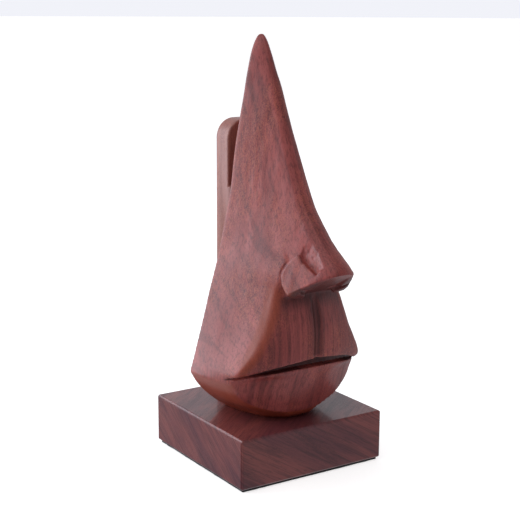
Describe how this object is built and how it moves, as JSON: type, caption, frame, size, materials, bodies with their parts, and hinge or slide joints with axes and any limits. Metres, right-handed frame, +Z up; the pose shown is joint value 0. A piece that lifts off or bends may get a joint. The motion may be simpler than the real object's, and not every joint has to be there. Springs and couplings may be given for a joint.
{
  "type": "eyeglasses display stand",
  "caption": "Carved wooden nose-and-mouth stand on a square block; glasses rest on the nose ridge and their folded temples drop into a slot behind it.",
  "frame": {"origin": "centre of the underside, on the resting face of the felt", "axes": "+Z up; the face looks along -Y; seen from the front, looking along +Y, +X is to the right"},
  "size_m": [0.06, 0.0765, 0.1532],
  "materials": {
    "carved_wood": "satin lacquer on oiled rosewood",
    "bracket_wood": "satin lacquer on rosewood, lighter and straight grained",
    "base_wood": "glossy lacquer on rosewood",
    "screw_steel": "zinc plated",
    "dowel_wood": "raw beech",
    "felt": "pressed wool felt"
  },
  "bodies": {
    "root": {"nose_head": "carved_wood", "temple_bracket": "bracket_wood", "base_block": "base_wood", "base_screw_left": "screw_steel", "base_screw_right": "screw_steel", "bracket_dowel_upper": "dowel_wood", "bracket_dowel_lower": "dowel_wood", "felt_pad": "felt"}
  },
  "joints": []
}
